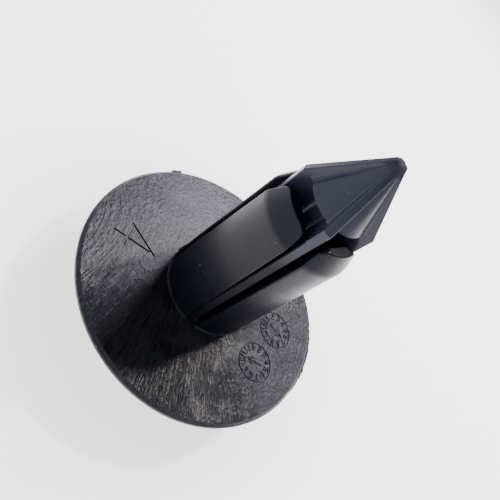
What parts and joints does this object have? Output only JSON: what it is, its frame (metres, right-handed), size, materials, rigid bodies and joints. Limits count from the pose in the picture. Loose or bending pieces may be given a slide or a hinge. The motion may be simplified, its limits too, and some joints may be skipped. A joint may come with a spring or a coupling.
{
  "type": "plastic push rivet",
  "caption": "Two-piece plastic push rivet: a wide thin flange with a slotted shank, and a ribbed pin with a pointed tip that slides through it to spread the shank in a panel hole.",
  "frame": {"origin": "centre of the shank on the flange's seating face, where the panel's surface lies", "axes": "+Z runs along the shank from the flange to the pointed tip; +X and +Y run through two of the slots, along two ribs of the pin"},
  "size_m": [0.0222, 0.0222, 0.0254],
  "materials": {
    "grommet_plastic": "black moulded acetal, satin, with fine scuffs",
    "pin_plastic": "black moulded acetal, satin, smooth"
  },
  "bodies": {
    "grommet": {"grommet": "grommet_plastic"},
    "pin": {"pin": "pin_plastic"}
  },
  "joints": [
    {"name": "pin_slide", "type": "slide", "parent": "grommet", "child": "pin", "axis": [0, 0, 1], "range_m": [-0.0012, 0.004]}
  ]
}
